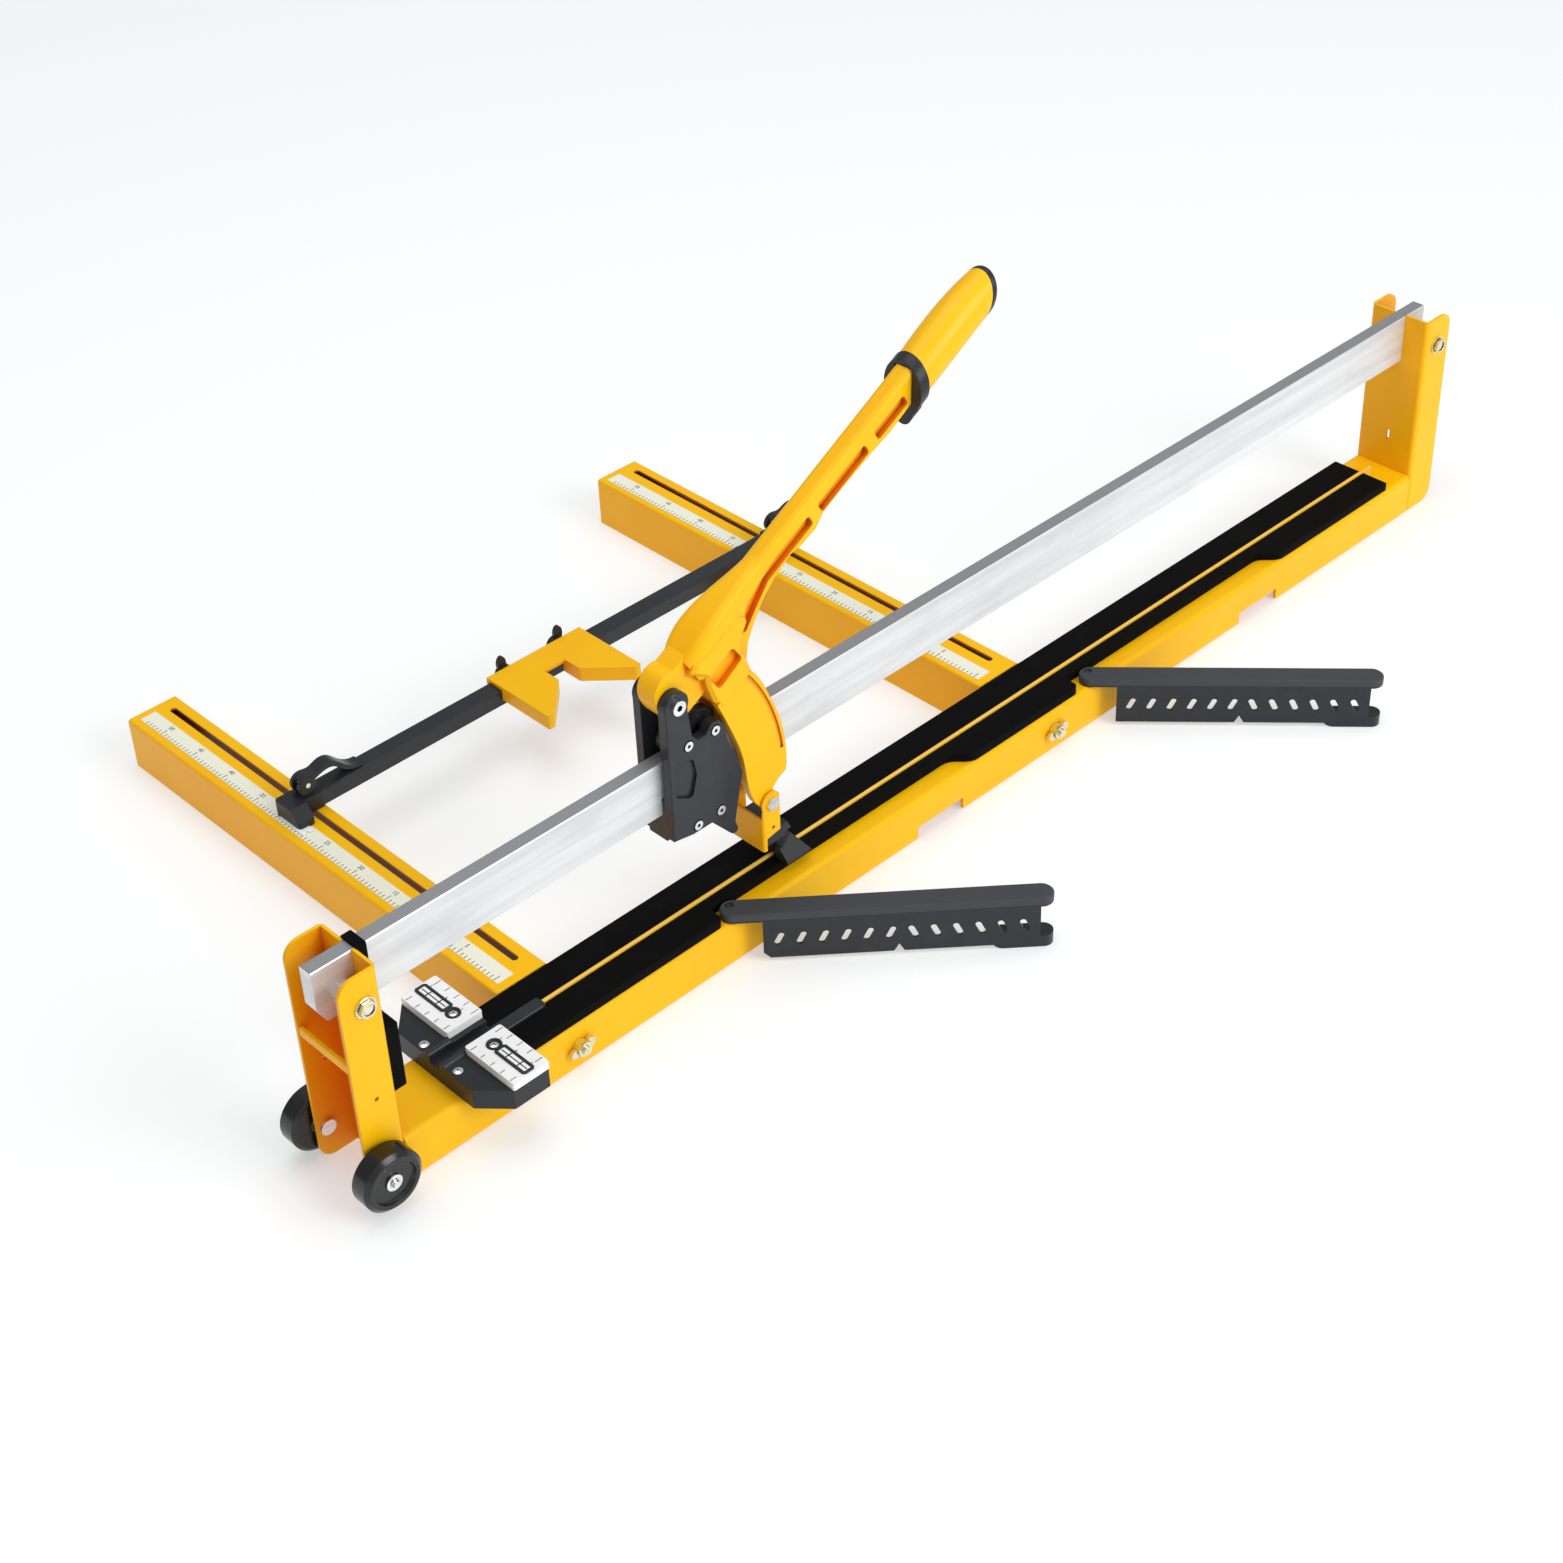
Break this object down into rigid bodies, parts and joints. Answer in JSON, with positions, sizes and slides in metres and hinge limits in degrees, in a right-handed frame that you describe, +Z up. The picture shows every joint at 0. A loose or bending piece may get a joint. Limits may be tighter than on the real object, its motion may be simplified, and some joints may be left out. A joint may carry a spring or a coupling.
{
  "type": "tile cutter",
  "caption": "Long manual tile cutter: a yellow beam with an overhead rail, lever carriage, slotted side arms with a fence and V-stop, and folding tile supports.",
  "frame": {"origin": "centre of the underside of the middle rubber foot, on the floor below the cutting line at mid-beam", "axes": "+X along the rail from the end with the wheels to the far end, +Y across the beam towards the slotted arms and fence, +Z up"},
  "size_m": [1.451, 0.8301, 0.5282],
  "materials": {
    "yellow_paint": "semi-gloss",
    "black_paint": "satin",
    "pad_rubber": "matte",
    "rib_strip": "satin",
    "rail_steel": "brushed",
    "chrome": "polished",
    "zinc": "satin",
    "black_plastic": "matte",
    "grip_plastic": "satin",
    "tape": "satin",
    "white_scale": "satin",
    "wheel_tread": "matte",
    "carbide": "ground"
  },
  "bodies": {
    "base": {"base_beam": "yellow_paint", "rubber_feet": "pad_rubber", "near_bracket": "yellow_paint", "far_bracket": "yellow_paint", "near_tie_bar": "yellow_paint", "web_buffer": "pad_rubber", "guide_rail": "rail_steel", "rail_bolts": "zinc", "rail_spacers": "chrome", "rail_buffer_ring": "pad_rubber", "left_pad": "pad_rubber", "right_pad": "pad_rubber", "breaking_rib": "rib_strip", "guide_bar": "black_paint", "front_stop": "black_plastic", "ruler_plates": "white_scale", "ruler_windows": "black_plastic", "stop_screws": "chrome", "near_side_arm": "yellow_paint", "far_side_arm": "yellow_paint", "scale_tapes": "tape", "arm_studs": "zinc", "wheel_axles": "zinc", "arm_hinge_pins": "black_paint"},
    "left_wheel": {"left_wheel": "wheel_tread"},
    "right_wheel": {"right_wheel": "wheel_tread"},
    "near_wing_nut": {"near_wing_nut": "zinc"},
    "far_wing_nut": {"far_wing_nut": "zinc"},
    "near_fold_arm": {"near_fold_arm": "black_paint", "near_fold_strip": "pad_rubber"},
    "far_fold_arm": {"far_fold_arm": "black_paint", "far_fold_strip": "pad_rubber"},
    "fence": {"fence_bar": "black_paint", "near_clamp_block": "black_plastic", "far_clamp_block": "black_plastic", "clamp_studs": "zinc", "scale_pointers": "white_scale"},
    "near_cam_lever": {"near_cam_lever": "black_plastic"},
    "far_cam_lever": {"far_cam_lever": "black_plastic"},
    "v_stop": {"v_stop": "yellow_paint"},
    "near_wing_screw": {"near_wing_screw": "black_plastic"},
    "far_wing_screw": {"far_wing_screw": "black_plastic"},
    "carriage": {"right_carriage_plate": "black_paint", "left_carriage_plate": "black_paint", "carriage_screws": "chrome", "bearing_sleeves": "black_paint", "slide_block": "black_plastic", "pivot_bolt": "chrome"},
    "near_bearing": {"near_bearing": "black_plastic"},
    "far_bearing": {"far_bearing": "black_plastic"},
    "handle": {"handle_casting": "yellow_paint", "handle_collar": "black_plastic", "handle_grip": "grip_plastic", "handle_cap": "black_plastic"},
    "head": {"clevis": "yellow_paint", "clevis_bolt": "chrome", "breaker_foot": "black_plastic", "wheel_holder": "black_paint", "wheel_pin": "zinc"},
    "scoring_wheel": {"scoring_wheel": "carbide"}
  },
  "joints": [
    {"name": "left_wheel_spin", "type": "hinge", "parent": "base", "child": "left_wheel", "pos_m": [-0.707, 0.048, 0.0355], "axis": [0, 1, 0], "continuous": true},
    {"name": "right_wheel_spin", "type": "hinge", "parent": "base", "child": "right_wheel", "pos_m": [-0.707, -0.048, 0.0355], "axis": [0, 1, 0], "continuous": true},
    {"name": "near_wing_nut_turn", "type": "hinge", "parent": "base", "child": "near_wing_nut", "pos_m": [-0.5, -0.04, 0.025], "axis": [0, -1, 0], "range_deg": [-180, 180]},
    {"name": "far_wing_nut_turn", "type": "hinge", "parent": "base", "child": "far_wing_nut", "pos_m": [0.097, -0.04, 0.025], "axis": [0, -1, 0], "range_deg": [-180, 180]},
    {"name": "near_fold_arm_swing", "type": "hinge", "parent": "base", "child": "near_fold_arm", "pos_m": [-0.316, -0.023, 0.05], "axis": [0, 0, 1], "range_deg": [-43.4, 41.6]},
    {"name": "far_fold_arm_swing", "type": "hinge", "parent": "base", "child": "far_fold_arm", "pos_m": [0.159, -0.023, 0.05], "axis": [0, 0, 1], "range_deg": [-37.5, 47.5]},
    {"name": "fence_slide", "type": "slide", "parent": "base", "child": "fence", "axis": [0, 1, 0], "range_m": [-0.245, 0.2]},
    {"name": "near_cam_lever_lift", "type": "hinge", "parent": "fence", "child": "near_cam_lever", "pos_m": [-0.4878, 0.3565, 0.0836], "axis": [0, -1, 0], "range_deg": [0, 100]},
    {"name": "far_cam_lever_lift", "type": "hinge", "parent": "fence", "child": "far_cam_lever", "pos_m": [0.1091, 0.3565, 0.0836], "axis": [0, -1, 0], "range_deg": [0, 100]},
    {"name": "v_stop_slide", "type": "slide", "parent": "fence", "child": "v_stop", "axis": [1, 0, 0], "range_m": [-0.16, 0.19]},
    {"name": "near_wing_screw_turn", "type": "hinge", "parent": "v_stop", "child": "near_wing_screw", "pos_m": [-0.239, 0.37, 0.066], "axis": [0, -1, 0], "range_deg": [-180, 180]},
    {"name": "far_wing_screw_turn", "type": "hinge", "parent": "v_stop", "child": "far_wing_screw", "pos_m": [-0.174, 0.37, 0.066], "axis": [0, -1, 0], "range_deg": [-180, 180]},
    {"name": "carriage_slide", "type": "slide", "parent": "base", "child": "carriage", "axis": [1, 0, 0], "range_m": [-0.293, 0.845]},
    {"name": "near_bearing_roll", "type": "hinge", "parent": "carriage", "child": "near_bearing", "pos_m": [-0.347, 0, 0.2425], "axis": [0, 1, 0], "continuous": true},
    {"name": "far_bearing_roll", "type": "hinge", "parent": "carriage", "child": "far_bearing", "pos_m": [-0.317, 0, 0.2425], "axis": [0, 1, 0], "continuous": true},
    {"name": "handle_lift", "type": "hinge", "parent": "carriage", "child": "handle", "pos_m": [-0.3564, 0, 0.2874], "axis": [0, -1, 0], "range_deg": [0, 18]},
    {"name": "head_swing", "type": "hinge", "parent": "handle", "child": "head", "pos_m": [-0.26, 0, 0.1345], "axis": [0, -1, 0], "range_deg": [-18, 0]},
    {"name": "scoring_wheel_spin", "type": "hinge", "parent": "head", "child": "scoring_wheel", "pos_m": [-0.24, 0, 0.064], "axis": [0, 1, 0], "continuous": true}
  ],
  "couplings": [
    {"joint": "near_bearing_roll", "follows": "carriage_slide", "rad_per_m": 71.429},
    {"joint": "far_bearing_roll", "follows": "carriage_slide", "rad_per_m": 71.429},
    {"joint": "head_swing", "follows": "handle_lift", "ratio": -1}
  ]
}
